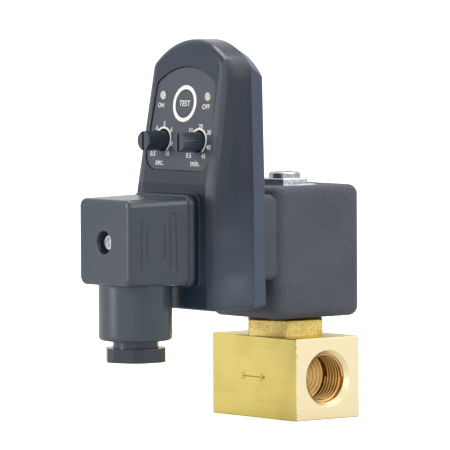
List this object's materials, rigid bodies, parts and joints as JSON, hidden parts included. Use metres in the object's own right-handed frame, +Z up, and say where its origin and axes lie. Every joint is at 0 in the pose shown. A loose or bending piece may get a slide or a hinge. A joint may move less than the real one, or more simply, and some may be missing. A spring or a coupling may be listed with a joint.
{
  "type": "timed electronic drain valve",
  "caption": "Brass two-way solenoid drain valve with a plug-on timer with two dials and a test button, and a cable plug.",
  "frame": {"origin": "centre of the brass body's base, on the armature axis", "axes": "+X along the flow, out of the outlet port; -Y towards the timer's panel and the cable plug; +Z up along the armature"},
  "size_m": [0.0412, 0.0885, 0.1182],
  "materials": {
    "brass": "machined bar brass, satin",
    "stainless_steel": "turned stainless steel",
    "zinc_steel": "zinc-plated steel",
    "copper": "enamelled copper",
    "timer_plastic": "dark blue-grey moulded plastic, satin",
    "coil_plastic": "dark grey coil encapsulation, matt",
    "overlay_film": "printed polyester film, fine grain",
    "rubber": "black sealing rubber",
    "bobbin_plastic": "natural glass-filled nylon",
    "circuit_laminate": "green glass-epoxy laminate",
    "component_plastic": "moulded electronic parts",
    "lamp_lens": "milky diffusing lens",
    "tin_plate": "tin-plated contact brass"
  },
  "bodies": {
    "valve": {"valve_body": "brass", "bonnet": "brass", "bonnet_ring": "rubber", "armature_tube": "stainless_steel", "fixed_core": "stainless_steel", "shading_ring": "copper", "coil_washer": "rubber", "nut_washer": "zinc_steel", "coil_nut": "zinc_steel"},
    "plunger": {"plunger": "stainless_steel", "plunger_seal": "rubber", "plunger_spring": "stainless_steel"},
    "coil_and_timer": {"coil_housing": "coil_plastic", "coil_bobbin": "bobbin_plastic", "coil_winding": "copper", "coil_yoke": "zinc_steel", "coil_terminals": "tin_plate", "coil_gasket": "rubber", "rear_cover": "timer_plastic", "front_cover": "timer_plastic", "cover_screws": "zinc_steel", "panel_overlay": "overlay_film", "tact_switch": "component_plastic", "led_on": "lamp_lens", "led_off": "lamp_lens", "potentiometers": "component_plastic", "circuit_board": "circuit_laminate", "capacitors": "component_plastic", "control_chip": "component_plastic", "socket_contacts": "tin_plate", "plug_pins": "tin_plate", "plug_gasket": "rubber", "plug_housing": "timer_plastic", "terminal_insert": "bobbin_plastic", "clamp_screws": "zinc_steel", "centre_screw": "zinc_steel", "gland_nut": "timer_plastic", "gland_washer": "bobbin_plastic", "gland_seal": "rubber"},
    "seconds_dial": {"seconds_knob": "timer_plastic", "seconds_shaft": "bobbin_plastic"},
    "minutes_dial": {"minutes_knob": "timer_plastic", "minutes_shaft": "bobbin_plastic"},
    "button": {"test_button": "overlay_film"}
  },
  "joints": [
    {"name": "plunger_lift", "type": "slide", "parent": "valve", "child": "plunger", "axis": [0, 0, 1], "range_m": [0, 0.002], "stiffness_N_per_m": 300, "springref_m": -0.004, "deforming": ["plunger_spring"]},
    {"name": "coil_swivel", "type": "hinge", "parent": "valve", "child": "coil_and_timer", "pos_m": [0, 0, 0.05], "axis": [0, 0, 1], "continuous": true},
    {"name": "seconds_turn", "type": "hinge", "parent": "coil_and_timer", "child": "seconds_dial", "pos_m": [-0.00875, -0.045, 0.087], "axis": [0, -1, 0], "range_deg": [-140, 140]},
    {"name": "minutes_turn", "type": "hinge", "parent": "coil_and_timer", "child": "minutes_dial", "pos_m": [0.00875, -0.045, 0.087], "axis": [0, -1, 0], "range_deg": [-140, 140]},
    {"name": "button_press", "type": "slide", "parent": "coil_and_timer", "child": "button", "axis": [0, 0.9869, -0.1616], "range_m": [0, 0.0006], "stiffness_N_per_m": 2500, "springref_m": -0.0004}
  ]
}
